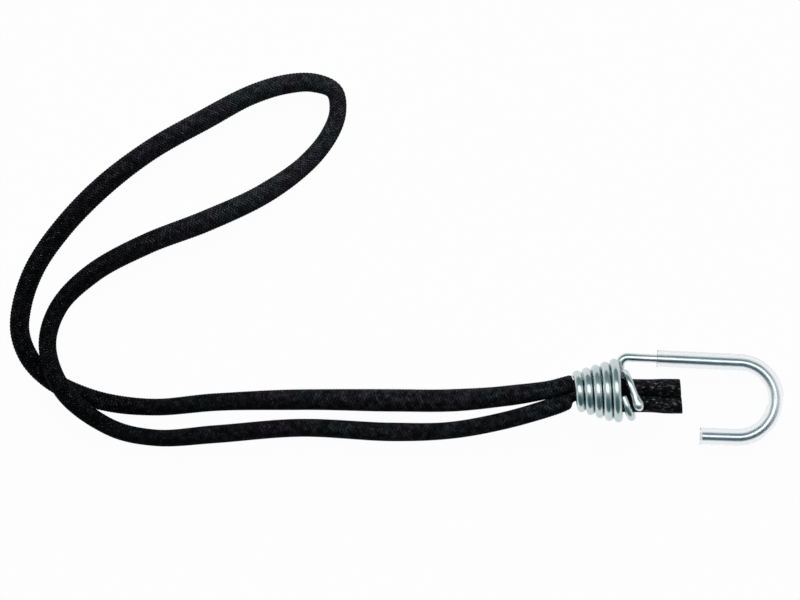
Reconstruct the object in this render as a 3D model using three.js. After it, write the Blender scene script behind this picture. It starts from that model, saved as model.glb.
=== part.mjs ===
// Bungee cord: one elastic cord doubled into a loop, its two ends gripped side by side in the
// conical spiral of a wire hook. A wire clip ring stops the ends from pulling back through the
// spiral, and a clear sleeve covers the hooking part of the wire.
// Millimetres, +Z up. Everything lies on a table at z = 0, with the origin below the hook's middle.
import * as THREE from 'three';

// Cord: a braided sheath round a rubber core
const CORD_SIDES = 12;
const SHEATH_WALL = 0.9;
const CORE_CLEARANCE = 0.15;
const JOIN_GAP = 0.3;
const STEPS_PER_SPAN = 2;

// Hook wire
const WIRE_DIAMETER = 3.8;
const WIRE_SIDES = 10;
const WIRE_END_CHAMFER = 0.45;
const HOOK_RADIUS = 16.5;
const HOOK_CENTRE_X = 26.6;
const HOOK_CENTRE_Y = -0.85;
const HOOK_STEPS = 16;
const SHANK_LENGTH = 49.3;
const SHANK_TILT = 2.7;
const SHANK_STEPS = 4;
const TIP_LENGTH = 15.1;
const TIP_TILT = 1.9;
const TIP_STEPS = 2;
const RUN_OUT_BEND = 3.4;
const RUN_OUT_STEPS = 12;

// Conical spiral of the hook; its wide mouth takes its size from the clip ring
const COIL_BORE_RADIUS = 5;
const COIL_TURN_GAP = 0.24;
const COIL_TAPER_TURNS = 4;
const COIL_FIRST_TURN = -0.055;
const COIL_LAST_TURN = 4.752;
const COIL_AXIS_Y = 3.4;
const COIL_STEPS_PER_TURN = 24;

// Clear sleeve on the hook
const SLEEVE_DIAMETER = 7.5;
const SLEEVE_CLEARANCE = 0.25;
const SLEEVE_ON_SHANK = 36.6;
const SLEEVE_PAST_TIP = 1.25;
const SLEEVE_SIDES = 12;

// Clip ring round the two cord ends: a turn and a bit of wire whose cut ends pass each other
const RING_WIRE_DIAMETER = 3.6;
const RING_SIDES = 8;
const RING_STANDOFF = 4.55;
const RING_CLEARANCE = 0.35;
const RING_MOUTH_CLEARANCE = 0.95;
const RING_LEAD = 5.4;
const RING_LEAN = 2.9;
const RING_FIRST_END = -0.37;
const RING_LAST_END = 0.735;
const RING_STEPS = 44;

// Cord ends, squeezed to half rounds where they enter the spiral
const END_AXIS_Y = 1.35;
const END_SEAM = 0.3;
const END_DIAMETER = 7.2;
const PINCHED_DIAMETER = 7.2;
const STUB_DIAMETER = 7.45;
const STUB_DROOP = 0.45;
const SPIRAL_CLEARANCE = 0.35;
const UPPER_STUB = 26.2;
const LOWER_STUB = 26.8;
const CUT_SLANT = 0.075;
const HALF_ROUND_CENTRE = 0.42;
const CORNER_SHARPNESS = 6;
// Squeeze from 0, round, to 1, half round: by distance before the spiral's first strand, and then
// by share of the spiral's length. The first strand reaches the lower cord a little later.
const SQUEEZE_BEFORE = [[3.45, 0], [2.45, 0.3], [1.65, 0.85], [0.7, 1]];
const SQUEEZE_INSIDE = [[0.17, 0.95], [0.42, 0.55], [0.68, 0.15], [0.93, 0]];

// Route of the free cord, from where the upper leg leaves the spiral, round the loop, to where the
// lower leg goes back in: x from the spiral's small end, y, clear height under the cord, diameter.
const ROUTE = [
  [-10.6, 4.2, 9.5, 7.7],
  [-31.3, 1.0, 5.0, 8.9],
  [-55.5, -1.0, 0.5, 9.8],
  [-81.9, -1.0, 0.0, 9.8],
  [-121.5, -0.7, 0.0, 9.0],
  [-158.9, -1.8, 0.0, 7.7],
  [-185.3, -4.0, 0.0, 7.3],
  [-205.1, -2.2, 0.0, 7.8],
  [-220.6, 2.3, 0.0, 8.3],
  [-232.3, 8.6, 0.0, 8.4],
  [-240.8, 17.6, 0.0, 8.5],
  [-245.0, 28.9, 0.0, 8.4],
  [-244.0, 41.5, 0.0, 8.6],
  [-238.3, 57.4, 0.0, 8.8],
  [-226.8, 74.2, 0.0, 9.0],
  [-209.4, 92.4, 0.0, 9.3],
  [-187.5, 109.2, 0.0, 9.0],
  [-163.2, 122.9, 0.0, 9.1],
  [-143.5, 133.3, 0.0, 8.6],
  [-128.1, 138.1, 0.0, 8.5],
  [-115.8, 138.8, 0.0, 8.2],
  [-106.7, 135.1, 0.0, 7.5],
  [-105.1, 126.2, 0.0, 7.4],
  [-108.8, 115.9, 0.0, 7.7],
  [-119.1, 103.2, 0.0, 8.1],
  [-138.1, 89.6, 0.0, 9.0],
  [-163.2, 77.9, 0.0, 9.4],
  [-189.6, 67.7, 0.0, 9.1],
  [-213.0, 55.0, 0.0, 8.7],
  [-227.9, 40.1, 0.5, 7.9],
  [-232.7, 23.1, 4.6, 7.7],
  [-225.5, 3.3, 9.0, 8.2],
  [-205.1, -12.9, 1.3, 7.4],
  [-185.3, -17.5, 0.0, 7.2],
  [-158.9, -15.9, 0.0, 7.8],
  [-121.5, -13.1, 0.0, 7.8],
  [-81.9, -14.9, 0.0, 8.1],
  [-55.5, -14.2, 0.4, 7.4],
  [-31.3, -9.7, 4.9, 7.5],
  [-10.6, -3.6, 9.5, 7.7],
];
const LOOP_FIRST_POINT = 7;
const LOOP_LAST_POINT = 32;

// Values worked out from the sizes above
const { lerp, clamp, smoothstep, degToRad } = THREE.MathUtils;
const UP = new THREE.Vector3(0, 0, 1);
const wireRadius = WIRE_DIAMETER / 2;
const ringFlat = PINCHED_DIAMETER + END_SEAM;
const ringBend = PINCHED_DIAMETER / 2 + RING_CLEARANCE + RING_WIRE_DIAMETER / 2;
const ringHalfHeight = ringFlat / 2 + ringBend;
const ringReach = END_AXIS_Y - COIL_AXIS_Y + ringHalfHeight + RING_WIRE_DIAMETER / 2;
const coilPitch = WIRE_DIAMETER + COIL_TURN_GAP;
const coilSmallRadius = COIL_BORE_RADIUS + wireRadius;
const coilLargeRadius = ringReach + RING_MOUTH_CLEARANCE + wireRadius;
const coilAxisZ = coilLargeRadius + wireRadius;
const cordRest = Math.cos(Math.PI / CORD_SIDES);
const shankHeight = (SLEEVE_DIAMETER / 2) * Math.cos(Math.PI / SLEEVE_SIDES);
const shankHeading = degToRad(-SHANK_TILT);
const tipHeading = degToRad(-180 - TIP_TILT);
const shankEnd = pointOnHook(shankHeading);
const shankStart = shankEnd.clone().addScaledVector(towards(shankHeading), -SHANK_LENGTH);
const runOutCentreX = shankStart.x + RUN_OUT_BEND * Math.sin(shankHeading);
const runOutCentreY = shankStart.y - RUN_OUT_BEND * Math.cos(shankHeading);
const coilMouthX = runOutCentreX - RUN_OUT_BEND;
const coilSmallX = coilMouthX - coilPitch * COIL_LAST_TURN;

// Level unit vector for a heading
function towards(heading) {
  return new THREE.Vector3(Math.cos(heading), Math.sin(heading), 0);
}

// Point on the hook's round bend where the wire has this heading
function pointOnHook(heading) {
  const angle = heading + Math.PI / 2;
  return new THREE.Vector3(
    HOOK_CENTRE_X + HOOK_RADIUS * Math.cos(angle),
    HOOK_CENTRE_Y + HOOK_RADIUS * Math.sin(angle),
    shankHeight,
  );
}

// Point on the spiral's centre line, by turns from the top of its first strand
function pointOnCoil(turn) {
  const taper = clamp(turn / COIL_TAPER_TURNS, 0, 1);
  const radius = lerp(coilSmallRadius, coilLargeRadius, taper);
  const angle = turn * 2 * Math.PI;
  return new THREE.Vector3(
    coilSmallX + coilPitch * turn,
    COIL_AXIS_Y + radius * Math.cos(angle),
    coilAxisZ + radius * Math.sin(angle),
  );
}

// Middle of the cord at one line of the route
function onRoute([x, y, lift, diameter]) {
  return new THREE.Vector3(coilSmallX + x, y, lift + (diameter / 2) * cordRest);
}

// Evenly spread points of a function of 0 to 1, with both ends
function spread(steps, pointAt) {
  return Array.from({ length: steps + 1 }, (_, i) => pointAt(i / steps));
}

// Directions along a run of points
function tangentsOf(points) {
  return points.map((_, i) => {
    const before = points[Math.max(i - 1, 0)];
    const after = points[Math.min(i + 1, points.length - 1)];
    return after.clone().sub(before).normalize();
  });
}

// Section frame whose second axis is as near to +Z as the direction allows
function levelFrame(along) {
  const side = UP.clone().cross(along).normalize();
  return { side, rise: along.clone().cross(side) };
}

// Section frames carried along a run in space without twisting
function carriedFrames(points) {
  const side = UP.clone();
  return tangentsOf(points).map((along) => {
    side.addScaledVector(along, -side.dot(along)).normalize();
    return { side: side.clone(), rise: along.clone().cross(side) };
  });
}

// One ring of section points; radiusAt gives the section's radius by angle
function ringAt(point, frame, sides, radiusAt) {
  return Array.from({ length: sides }, (_, i) => {
    const angle = ((i + 0.5) * 2 * Math.PI) / sides;
    const radius = radiusAt(angle);
    return point
      .clone()
      .addScaledVector(frame.side, radius * Math.cos(angle))
      .addScaledVector(frame.rise, radius * Math.sin(angle));
  });
}

// Closed skin over rings of points: a rod, or a pipe where the rings of a bore are given
function skin(rings, bore) {
  const sides = rings[0].length;
  const last = rings.length - 1;
  const corners = [];
  const faces = [];
  const put = (points) => {
    const first = corners.length;
    corners.push(...points);
    return first;
  };
  const wall = (first, inwards) => {
    for (let i = first; i < first + last * sides; i += 1) {
      const next = (i - first) % sides === sides - 1 ? i + 1 - sides : i + 1;
      const quad = [i, next, next + sides, i, next + sides, i + sides];
      faces.push(...(inwards ? quad.reverse() : quad));
    }
  };
  const cap = (index, forwards) => {
    const rim = outer + index * sides;
    const middle = new THREE.Vector3();
    rings[index].forEach((corner) => middle.addScaledVector(corner, 1 / sides));
    const hub = bore ? inner + index * sides : put([middle]);
    for (let j = 0; j < sides; j += 1) {
      const k = (j + 1) % sides;
      const face = bore ? [rim + j, hub + j, hub + k, rim + j, hub + k, rim + k] : [hub, rim + k, rim + j];
      faces.push(...(forwards ? face.reverse() : face));
    }
  };
  const outer = put(rings.flat());
  wall(outer, false);
  const inner = bore ? put(bore.flat()) : null;
  if (bore) {
    wall(inner, true);
  }
  cap(0, false);
  cap(last, true);
  const geometry = new THREE.BufferGeometry().setFromPoints(corners);
  geometry.setIndex(faces);
  geometry.computeVertexNormals();
  return geometry;
}

// Round wire along points, with a chamfer at both cut ends
function wireAlong(points, diameter, sides) {
  const alongs = tangentsOf(points);
  const path = [
    points[0].clone().addScaledVector(alongs[0], -WIRE_END_CHAMFER),
    ...points,
    points.at(-1).clone().addScaledVector(alongs.at(-1), WIRE_END_CHAMFER),
  ];
  const frames = carriedFrames(path);
  const rings = path.map((point, i) => {
    const cutEnd = i === 0 || i === path.length - 1;
    const radius = diameter / 2 - (cutEnd ? WIRE_END_CHAMFER : 0);
    return ringAt(point, frames[i], sides, () => radius);
  });
  return skin(rings);
}

// Spiral from its free end to where the wire leaves it on the table side
function coilRun() {
  const steps = Math.round((COIL_LAST_TURN - COIL_FIRST_TURN) * COIL_STEPS_PER_TURN);
  return spread(steps, (t) => pointOnCoil(lerp(COIL_FIRST_TURN, COIL_LAST_TURN, t)));
}

// Wire from the spiral across the table side and round its bend into the shank
function runOut() {
  const leave = pointOnCoil(COIL_LAST_TURN);
  const straight = runOutCentreY - leave.y;
  const turned = RUN_OUT_BEND * (Math.PI / 2 - shankHeading);
  return spread(RUN_OUT_STEPS, (t) => {
    const gone = t * (straight + turned);
    const heading = Math.PI / 2 - Math.max(gone - straight, 0) / RUN_OUT_BEND;
    return new THREE.Vector3(
      runOutCentreX - RUN_OUT_BEND * Math.sin(heading),
      runOutCentreY + RUN_OUT_BEND * Math.cos(heading) - Math.max(straight - gone, 0),
      lerp(leave.z, shankHeight, smoothstep(t, 0, 1)),
    );
  });
}

// Shank, round bend and tip; the wire and its sleeve take different lengths of the same run
function hookRun(onShank, onTip) {
  const from = shankEnd.clone().addScaledVector(towards(shankHeading), -onShank);
  const bendEnd = pointOnHook(tipHeading);
  const to = bendEnd.clone().addScaledVector(towards(tipHeading), onTip);
  return [
    ...spread(SHANK_STEPS, (t) => from.clone().lerp(shankEnd, t)),
    ...spread(HOOK_STEPS, (t) => pointOnHook(lerp(shankHeading, tipHeading, t))).slice(1),
    ...spread(TIP_STEPS, (t) => bendEnd.clone().lerp(to, t)).slice(1),
  ];
}

function hookWire() {
  const wire = [...coilRun(), ...runOut().slice(1), ...hookRun(SHANK_LENGTH, TIP_LENGTH).slice(1)];
  return wireAlong(wire, WIRE_DIAMETER, WIRE_SIDES);
}

// Least gap between turns of the spiral and its run-out, on points at least half a turn apart
function leastCoilGap() {
  const points = [...coilRun(), ...runOut().slice(1)];
  const apart = COIL_STEPS_PER_TURN / 2;
  const spans = points.flatMap((point, i) => {
    return points.slice(i + apart).map((other) => point.distanceTo(other));
  });
  return Math.min(...spans) - WIRE_DIAMETER;
}

function hookSleeve() {
  const run = hookRun(SLEEVE_ON_SHANK, TIP_LENGTH + SLEEVE_PAST_TIP);
  const frames = tangentsOf(run).map(levelFrame);
  const pipe = (radius) => run.map((point, i) => ringAt(point, frames[i], SLEEVE_SIDES, () => radius));
  return skin(pipe(SLEEVE_DIAMETER / 2), pipe(wireRadius + SLEEVE_CLEARANCE));
}

// Clip ring: a flat-sided turn hugging both pinched cord ends, leaning and climbing along them.
// Its place is counted in turns from the top, towards the table side.
function clipRing() {
  const around = 2 * ringFlat + 2 * Math.PI * ringBend;
  const quarter = (Math.PI / 2) * ringBend;
  const section = (turn) => {
    const gone = (turn - Math.floor(turn)) * around;
    const onBack = gone < around / 2;
    const half = onBack ? gone : around - gone;
    const down = clamp(half - quarter, 0, ringFlat);
    const angle = (clamp(half, 0, quarter) + clamp(half - quarter - ringFlat, 0, quarter)) / ringBend;
    const height = ringFlat / 2 - down + ringBend * Math.cos(angle);
    return { height, depth: (onBack ? -1 : 1) * ringBend * Math.sin(angle) };
  };
  const points = spread(RING_STEPS, (t) => {
    const turn = lerp(RING_FIRST_END, RING_LAST_END, t);
    const { height, depth } = section(turn);
    const x = coilMouthX + RING_STANDOFF - RING_LEAD * turn - (RING_LEAN * height) / ringHalfHeight;
    return new THREE.Vector3(x, END_AXIS_Y + height, coilAxisZ + depth);
  });
  return wireAlong(points, RING_WIRE_DIAMETER, RING_SIDES);
}

// Sheath and core over stations that each hold a point, a frame and a radius by angle
function cordSkins(stations) {
  const rings = (inset) => stations.map(({ point, frame, radiusAt }) =>
    ringAt(point, frame, CORD_SIDES, (angle) => radiusAt(angle) - inset));
  return {
    sheath: skin(rings(0), rings(SHEATH_WALL)),
    core: skin(rings(SHEATH_WALL + CORE_CLEARANCE)),
  };
}

// Free stretch of cord between two points of the route, never below the table, and drawn back half
// a join gap at both ends
const routeCurve = new THREE.CatmullRomCurve3(ROUTE.map(onRoute));
function freeStretch(firstPoint, lastPoint) {
  const spans = ROUTE.length - 1;
  const steps = (lastPoint - firstPoint) * STEPS_PER_SPAN;
  const stations = spread(steps, (t) => {
    const place = lerp(firstPoint, lastPoint, t);
    const before = Math.min(Math.floor(place), spans - 1);
    const radius = lerp(ROUTE[before][3], ROUTE[before + 1][3], place - before) / 2;
    const along = routeCurve.getTangent(place / spans);
    const point = routeCurve.getPoint(place / spans);
    point.z = Math.max(point.z, radius * cordRest);
    return { point, along, frame: levelFrame(along), radiusAt: () => radius };
  });
  stations[0].point.addScaledVector(stations[0].along, JOIN_GAP / 2);
  stations.at(-1).point.addScaledVector(stations.at(-1).along, -JOIN_GAP / 2);
  return cordSkins(stations);
}

// Radius, by angle, of the half round that one cord fills inside the spiral. outwards is +1 for the
// upper cord and -1 for the lower one, and offset is from the section's centre to its flat side.
function halfRound(angle, outwards, fill, offset) {
  const away = outwards * Math.cos(angle);
  const fromAxis = offset + END_SEAM / 2;
  const toArc = Math.sqrt(fill ** 2 - fromAxis ** 2 * (1 - away ** 2)) - fromAxis * away;
  const toFlat = away < 0 ? offset / -away : Infinity;
  const softened = toArc ** -CORNER_SHARPNESS + toFlat ** -CORNER_SHARPNESS;
  return softened ** (-1 / CORNER_SHARPNESS);
}

// Cord end from the end of its leg, through the spiral and the clip ring, to its cut tip
function cordEnd(outwards, stub) {
  const joinLine = outwards > 0 ? ROUTE[0] : ROUTE.at(-1);
  const joinDiameter = joinLine[3];
  const join = onRoute(joinLine);
  const joinAxisY = join.y - (outwards * (joinDiameter + END_SEAM)) / 2;
  const fill = COIL_BORE_RADIUS - SPIRAL_CLEARANCE;
  const offset = HALF_ROUND_CENTRE * fill;
  const pastRing = coilMouthX + 2 * RING_STANDOFF + RING_WIRE_DIAMETER;
  const tipX = coilMouthX + stub;
  const places = [
    ...SQUEEZE_BEFORE.map(([before, squeeze]) => [coilSmallX - before, END_DIAMETER, squeeze]),
    ...SQUEEZE_INSIDE.map(([share, squeeze]) => [
      lerp(coilSmallX, coilMouthX, share),
      lerp(END_DIAMETER, PINCHED_DIAMETER, share),
      squeeze,
    ]),
    [pastRing, PINCHED_DIAMETER, 0],
    [(pastRing + tipX) / 2, STUB_DIAMETER, 0],
    [tipX, STUB_DIAMETER, 0],
  ];
  const square = { side: new THREE.Vector3(0, 1, 0), rise: UP };
  const cut = { side: new THREE.Vector3(-CUT_SLANT, 1, 0), rise: UP };
  const stations = places.map(([x, diameter, squeeze]) => {
    const entered = smoothstep(x, join.x, coilSmallX);
    const through = smoothstep(x, coilSmallX, coilMouthX);
    const droop = STUB_DROOP * smoothstep(x, coilMouthX, tipX);
    const axisY = lerp(lerp(joinAxisY, COIL_AXIS_Y, entered), END_AXIS_Y, through) - droop;
    const fromAxis = END_SEAM / 2 + lerp(diameter / 2, offset, squeeze);
    return {
      point: new THREE.Vector3(x, axisY + outwards * fromAxis, lerp(join.z, coilAxisZ, entered)),
      frame: x === tipX ? cut : square,
      radiusAt: (angle) => lerp(diameter / 2, halfRound(angle, outwards, fill, offset), squeeze),
    };
  });
  const along = routeCurve.getTangent(outwards > 0 ? 0 : 1).multiplyScalar(-outwards);
  const joined = {
    point: join.addScaledVector(along, JOIN_GAP / 2),
    frame: levelFrame(along),
    radiusAt: () => joinDiameter / 2,
  };
  return cordSkins([joined, ...stations]);
}

// Finishes
const zincPlate = { color: 0xc9d1d3, metalness: 0.9, roughness: 0.28 };
const clearVinyl = { color: 0xe3ecee, metalness: 0, roughness: 0.15, transparent: true, opacity: 0.35 };
const blackYarn = { color: 0x101113, metalness: 0, roughness: 0.75 };
const rubber = { color: 0x1d1b19, metalness: 0, roughness: 0.6 };

// The assembly, with the hook, its sleeve and the clip ring centred over the origin
const bungee = new THREE.Group();
function addPiece(name, geometry, finish) {
  const piece = new THREE.Mesh(geometry, new THREE.MeshStandardMaterial(finish));
  piece.name = name;
  bungee.add(piece);
}
function addCord(name, { sheath, core }) {
  addPiece(`sheath_${name}`, sheath, blackYarn);
  addPiece(`core_${name}`, core, rubber);
}
addPiece('hook_wire', hookWire(), zincPlate);
addPiece('hook_sleeve', hookSleeve(), clearVinyl);
addPiece('clip_ring', clipRing(), zincPlate);
const hardware = new THREE.Box3().setFromObject(bungee, true);
const middle = hardware.getCenter(new THREE.Vector3());
bungee.position.set(-middle.x, -middle.y, -hardware.min.z);

addCord('leg_upper', freeStretch(0, LOOP_FIRST_POINT));
addCord('loop', freeStretch(LOOP_FIRST_POINT, LOOP_LAST_POINT));
addCord('leg_lower', freeStretch(LOOP_LAST_POINT, ROUTE.length - 1));
addCord('end_upper', cordEnd(1, UPPER_STUB));
addCord('end_lower', cordEnd(-1, LOWER_STUB));

console.log('least gap between turns of the spiral, mm:', leastCoilGap().toFixed(2));
console.log('free cord from spiral to spiral, mm:', routeCurve.getLength().toFixed(0));
console.log('hardware centring, mm:', bungee.position.toArray().map((v) => v.toFixed(3)).join(' '));

export default bungee;
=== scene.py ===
# %% [markdown]
# # A bungee cord with a spiral wire hook
# One elastic cord is doubled into a loop. Its two ends go side by side through the conical spiral of a
# wire hook, and a bent wire ring keeps them from pulling back. A clear sleeve covers the hooking part.
# The CAD model is loaded first and stays as it is. Each CAD node is then replaced by a finer piece that
# lies in the same place; all but the legs move with the same body.

import math

import bpy
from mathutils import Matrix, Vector


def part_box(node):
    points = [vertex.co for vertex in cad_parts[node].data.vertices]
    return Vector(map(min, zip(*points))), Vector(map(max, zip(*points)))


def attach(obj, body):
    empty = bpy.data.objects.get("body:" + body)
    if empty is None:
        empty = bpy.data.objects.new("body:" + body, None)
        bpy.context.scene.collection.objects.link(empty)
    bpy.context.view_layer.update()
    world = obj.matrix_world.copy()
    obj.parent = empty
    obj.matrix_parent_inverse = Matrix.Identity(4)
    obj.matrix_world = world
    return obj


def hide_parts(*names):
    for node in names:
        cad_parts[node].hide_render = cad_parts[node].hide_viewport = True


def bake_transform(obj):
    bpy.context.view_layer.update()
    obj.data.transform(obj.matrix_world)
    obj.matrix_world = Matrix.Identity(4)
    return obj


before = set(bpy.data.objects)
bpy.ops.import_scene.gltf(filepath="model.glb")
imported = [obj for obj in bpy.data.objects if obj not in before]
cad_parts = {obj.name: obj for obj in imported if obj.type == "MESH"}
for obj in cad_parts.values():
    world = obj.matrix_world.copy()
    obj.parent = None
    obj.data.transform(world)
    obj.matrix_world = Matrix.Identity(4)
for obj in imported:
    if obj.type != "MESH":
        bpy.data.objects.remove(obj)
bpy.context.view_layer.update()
MM = 0.001
UP = Vector((0, 0, 1))

# %% [markdown]
# ## Camera
# The photograph looks straight down at the table. A camera without perspective would do, but a long lens
# far away keeps parallel lines as parallel as a real one does. So a place in the picture is a place on
# the table: one pixel is a fixed length, and one pixel shows the origin.

# %% Camera
PICTURE_WIDTH, PICTURE_HEIGHT = 800, 600
PIXEL = 0.44 * MM
ORIGIN_PIXEL = Vector((678.03, 398.1))
LOOK_HEIGHT = 6 * MM
CAMERA_DISTANCE = 3.0
CAMERA_REACH = 50.0

camera_data = bpy.data.cameras.new("camera")
camera_data.lens = camera_data.sensor_width * CAMERA_DISTANCE / (PICTURE_WIDTH * PIXEL)
camera_data.clip_end = CAMERA_REACH
camera = bpy.data.objects.new("camera", camera_data)
camera.location = (
    (PICTURE_WIDTH / 2 - ORIGIN_PIXEL.x) * PIXEL,
    (ORIGIN_PIXEL.y - PICTURE_HEIGHT / 2) * PIXEL,
    LOOK_HEIGHT + CAMERA_DISTANCE,
)
bpy.context.collection.objects.link(camera)
bpy.context.scene.camera = camera
print("camera over", [round(v / MM, 1) for v in camera.location], "lens", round(camera_data.lens))

# %% [markdown]
# ## Building node trees
# Nodes can be laid by hand in the editor. In a script, a few short helpers keep a tree readable: one adds
# a node and joins what it is given, and the others do sums, soft steps and mixes of colour.


# %% Helpers for node trees
class Tree:
    """A node tree that is filled by short calls."""

    def __init__(self, tree):
        self.tree = tree

    def join(self, value, socket):
        if isinstance(value, bpy.types.NodeSocket):
            self.tree.links.new(value, socket)
        else:
            socket.default_value = value

    def fill(self, node, values):
        for name, value in values.items():
            self.join(value, node.inputs[name])

    def add(self, kind, values=None, **settings):
        node = self.tree.nodes.new(kind)
        for name, value in settings.items():
            setattr(node, name, value)
        self.fill(node, values or {})
        return node

    def math(self, operation, *values):
        node = self.add("ShaderNodeMath", operation=operation)
        for value, socket in zip(values, node.inputs):
            self.join(value, socket)
        return node.outputs[0]

    def times(self, first, second):
        return self.math("MULTIPLY", first, second)

    def rest(self, share):
        """What a share leaves of 1."""
        return self.math("SUBTRACT", 1.0, share)

    def parts(self, vector):
        """The three numbers of a vector."""
        return self.add("ShaderNodeSeparateXYZ", {0: vector}).outputs

    def combine(self, **parts):
        """A vector from its numbers; those that aren't given are 0."""
        return self.add("ShaderNodeCombineXYZ", parts).outputs[0]

    def vector(self, operation, first, second=None):
        node = self.add("ShaderNodeVectorMath", operation=operation)
        self.join(first, node.inputs[0])
        if second is not None:
            self.join(second, node.inputs["Scale" if operation == "SCALE" else 1])
        return node.outputs["Value" if operation == "DISTANCE" else "Vector"]

    def smooth(self, value, low, high):
        """0 up to low, 1 from high and a soft step between them."""
        node = self.add("ShaderNodeMapRange", {"Value": value, "From Min": low, "From Max": high})
        node.interpolation_type = "SMOOTHSTEP"
        return node.outputs["Result"]

    def between(self, share, low, high):
        """From low to high as a share goes from 0 to 1."""
        node = self.add("ShaderNodeMapRange", {"Value": share, "To Min": low, "To Max": high})
        return node.outputs["Result"]

    def mix(self, share, first, second, blend="MIX"):
        """A colour between two others, or their product."""
        colours = {"Factor": share, "A": first, "B": second}
        return self.add("ShaderNodeMix", colours, data_type="RGBA", blend_type=blend).outputs["Result"]


def shader(name):
    """A new material with its tree and its Principled shader."""
    material = bpy.data.materials.new(name)
    material.use_nodes = True
    return material, Tree(material.node_tree), material.node_tree.nodes["Principled BSDF"]


# %% [markdown]
# ## Stage
# The object lies on a plain white table, under one wide soft lamp that hangs a little behind it and draws
# a white line on bright wire. The rest of the sky is dim and slightly teal, so that line gets dark edges.
# A picture of a studio could be wrapped round the scene, but a few soft steps by direction are easier to
# tune. The camera sees the table and the sky as white, and the table still keeps a soft shadow.

# %% Table
WHITE = (1, 1, 1, 1)
TABLE_SIDE = 12.0
TABLE_DROP = 0.15 * MM
TABLE_WHITE = 0.5
TABLE_ROUGHNESS = 0.9
SHADOW_SHARE = 0.03


def background_ray(t):
    """1 for rays that show the background: seen straight, in gloss or through glass."""
    path = t.add("ShaderNodeLightPath")
    seen = t.math("MAXIMUM", path.outputs["Is Camera Ray"], path.outputs["Is Glossy Ray"])
    return t.math("MAXIMUM", seen, path.outputs["Is Transmission Ray"])


table_mesh = bpy.data.meshes.new("table")
half = TABLE_SIDE / 2
corners = [(x, y, -TABLE_DROP) for x, y in ((-half, -half), (half, -half), (half, half), (-half, half))]
table_mesh.from_pydata(corners, [], [(0, 1, 2, 3)])
table = bpy.data.objects.new("table", table_mesh)
bpy.context.collection.objects.link(table)

table_white, t, principled = shader("table_white")
t.fill(principled, {"Base Color": (TABLE_WHITE, TABLE_WHITE, TABLE_WHITE, 1), "Roughness": TABLE_ROUGHNESS})
glow = t.add("ShaderNodeEmission", {"Color": WHITE, "Strength": 1.0})
share = t.times(background_ray(t), 1 - SHADOW_SHARE)
mixed = t.add("ShaderNodeMixShader", {0: share, 1: principled.outputs[0], 2: glow.outputs[0]})
t.join(mixed.outputs[0], t.tree.nodes["Material Output"].inputs["Surface"])
table_mesh.materials.append(table_white)
print("table:", TABLE_SIDE, "m wide")

# %% Sky
# Strength everywhere, and what is added behind, overhead from side to side, and at both sides
SKY_DIM = 0.15
SKY_BEHIND = 0.13
SKY_BAND = 0.3
SKY_SIDE = 0.35
# Soft light from behind, for rays that scatter
SKY_FILL = 4.2
# Where each of these begins and is whole, by one number of the direction
BEHIND_EDGES = (0.0, 0.7)
BAND_EDGES = (0.2, 0.5)
SIDE_EDGES = (0.5, 0.95)
FILL_EDGES = (0.35, 0.75)
# Glass shows white below this height
LOW_EDGES = (0.2, 0.5)
SKY_TINT = (0.4, 0.92, 1.0, 1)
UNTINTED_BEHIND = 0.45

world = bpy.data.worlds.new("studio")
bpy.context.scene.world = world
world.use_nodes = True
t = Tree(world.node_tree)
sky = world.node_tree.nodes["Background"]
direction = t.add("ShaderNodeTexCoord").outputs["Generated"]
across, behind, above = t.parts(direction)
path = t.add("ShaderNodeLightPath").outputs
scattered = path["Is Diffuse Ray"]
back = t.smooth(behind, *BEHIND_EDGES)
band = t.rest(t.smooth(t.math("ABSOLUTE", behind), *BAND_EDGES))
side = t.smooth(t.math("ABSOLUTE", across), *SIDE_EDGES)
shown = SKY_DIM
for part, strength in ((back, SKY_BEHIND), (band, SKY_BAND), (side, SKY_SIDE)):
    shown = t.math("MULTIPLY_ADD", part, strength, shown)
fill = t.times(t.smooth(behind, *FILL_EDGES), SKY_FILL)
light = t.add("ShaderNodeMix", {"Factor": scattered, "A": shown, "B": fill}).outputs["Result"]
plain = t.math("MAXIMUM", t.math("MAXIMUM", band, side), t.times(back, UNTINTED_BEHIND))
tint = t.mix(t.math("MAXIMUM", scattered, plain), SKY_TINT, WHITE)
t.fill(sky, {"Color": tint, "Strength": light})

white = t.add("ShaderNodeBackground", {"Color": WHITE, "Strength": 1.0})
unreflected = t.rest(t.math("MINIMUM", path["Glossy Depth"], 1.0))
low = t.rest(t.smooth(above, *LOW_EDGES))
glassy = t.times(path["Is Transmission Ray"], t.times(unreflected, low))
seen = t.math("MAXIMUM", path["Is Camera Ray"], glassy)
mixed = t.add("ShaderNodeMixShader", {0: seen, 1: sky.outputs[0], 2: white.outputs[0]})
t.join(mixed.outputs[0], t.tree.nodes["World Output"].inputs["Surface"])
print("sky: strength from", SKY_DIM, "to", SKY_DIM + SKY_BAND + SKY_SIDE)

# %% Lamp
LAMP_PLACE = Vector((-0.05, 0.3, 1.3))
LAMP_AIM = Vector((-0.05, 0.0, 0))
LAMP_WIDTH, LAMP_DEPTH = 2.0, 0.85
LAMP_WATTS = 9.4

lamp_data = bpy.data.lights.new("soft_lamp", "AREA")
lamp_data.shape = "RECTANGLE"
lamp_data.size, lamp_data.size_y = LAMP_WIDTH, LAMP_DEPTH
lamp_data.energy = LAMP_WATTS
lamp = bpy.data.objects.new("soft_lamp", lamp_data)
lamp.location = LAMP_PLACE
lamp.rotation_mode = "QUATERNION"
lamp.rotation_quaternion = (LAMP_AIM - LAMP_PLACE).to_track_quat("-Z", "Y")
bpy.context.collection.objects.link(lamp)
bpy.context.scene.view_settings.view_transform = "Standard"
print("lamp:", LAMP_WIDTH, "by", LAMP_DEPTH, "m and", LAMP_WATTS, "W")

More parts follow.
